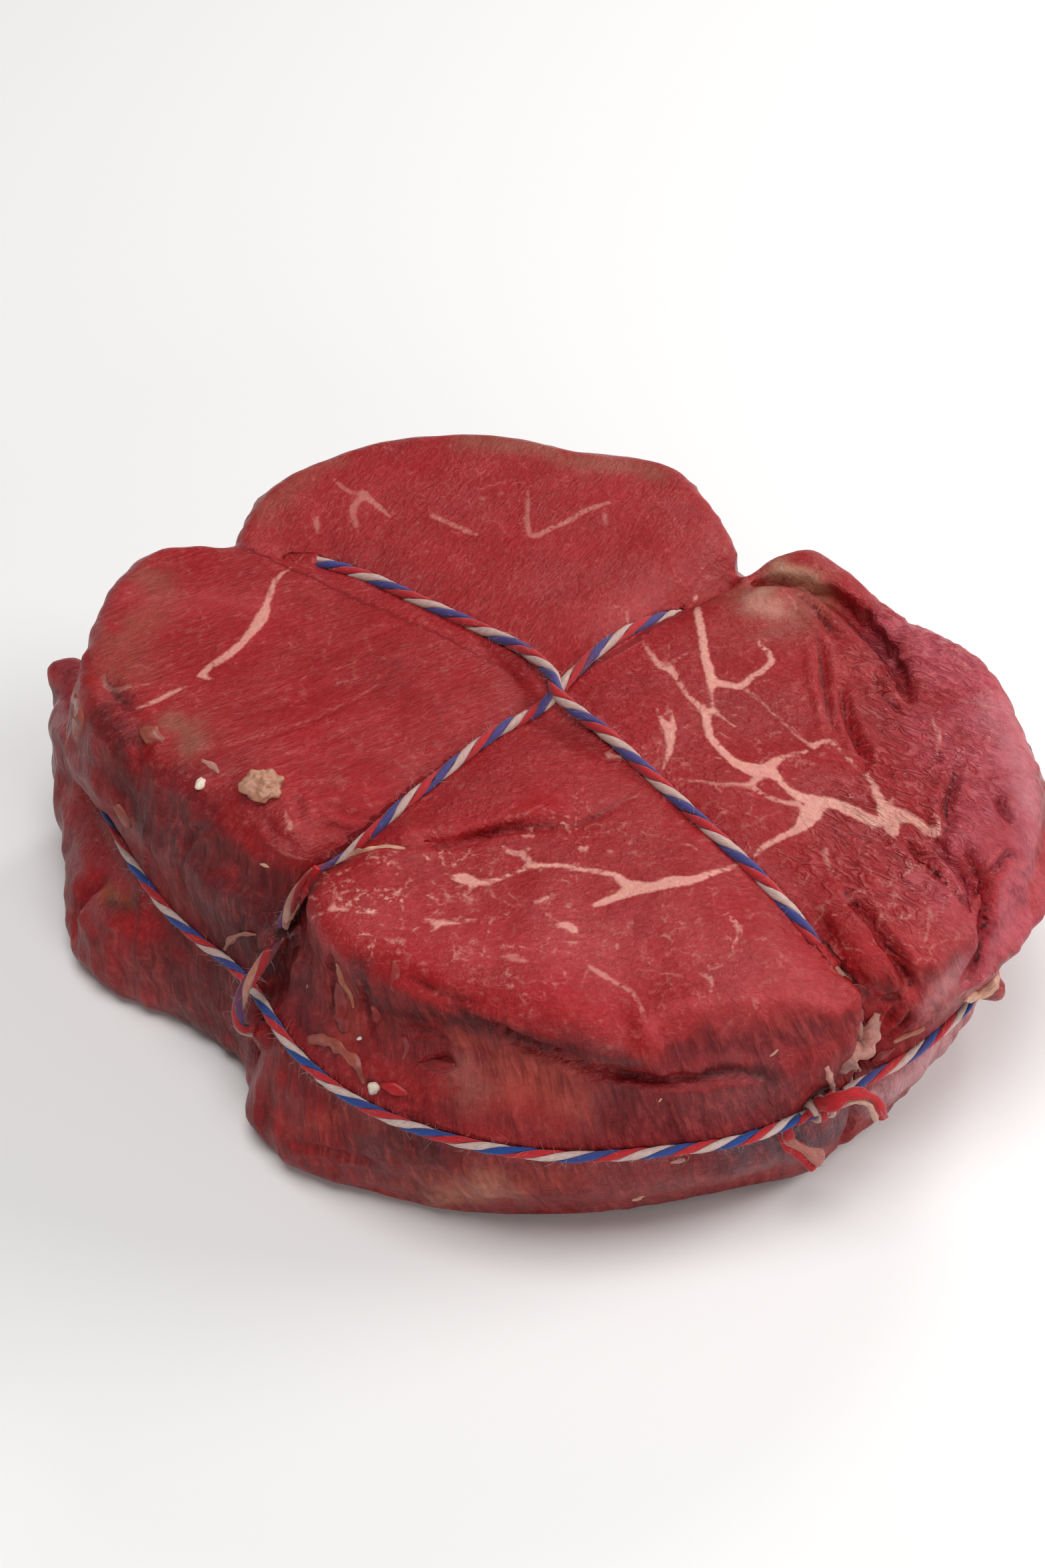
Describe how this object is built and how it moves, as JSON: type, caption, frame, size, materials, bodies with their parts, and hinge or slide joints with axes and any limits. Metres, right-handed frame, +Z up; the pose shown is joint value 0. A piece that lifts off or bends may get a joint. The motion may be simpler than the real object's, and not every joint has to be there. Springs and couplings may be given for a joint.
{
  "type": "beef tournedos",
  "caption": "Thick round medallion of raw beef, held in shape by butcher's twine round its waist and crossed over its top, knotted at the front.",
  "frame": {"origin": "on the board, under the middle of the whole piece's box", "axes": "+Z up from the board; +X towards the picture's right, along the longest extent; -Y faces the viewer, the side with the knot"},
  "size_m": [0.0988, 0.0833, 0.0324],
  "materials": {
    "raw_beef": "moist",
    "butchers_twine": "matt"
  },
  "bodies": {
    "root": {"meat": "raw_beef", "twine_cross_a": "butchers_twine", "twine_cross_b": "butchers_twine", "twine_ring": "butchers_twine", "twine_knot": "butchers_twine", "twine_tail_upper": "butchers_twine", "twine_tail_lower": "butchers_twine"}
  },
  "joints": []
}
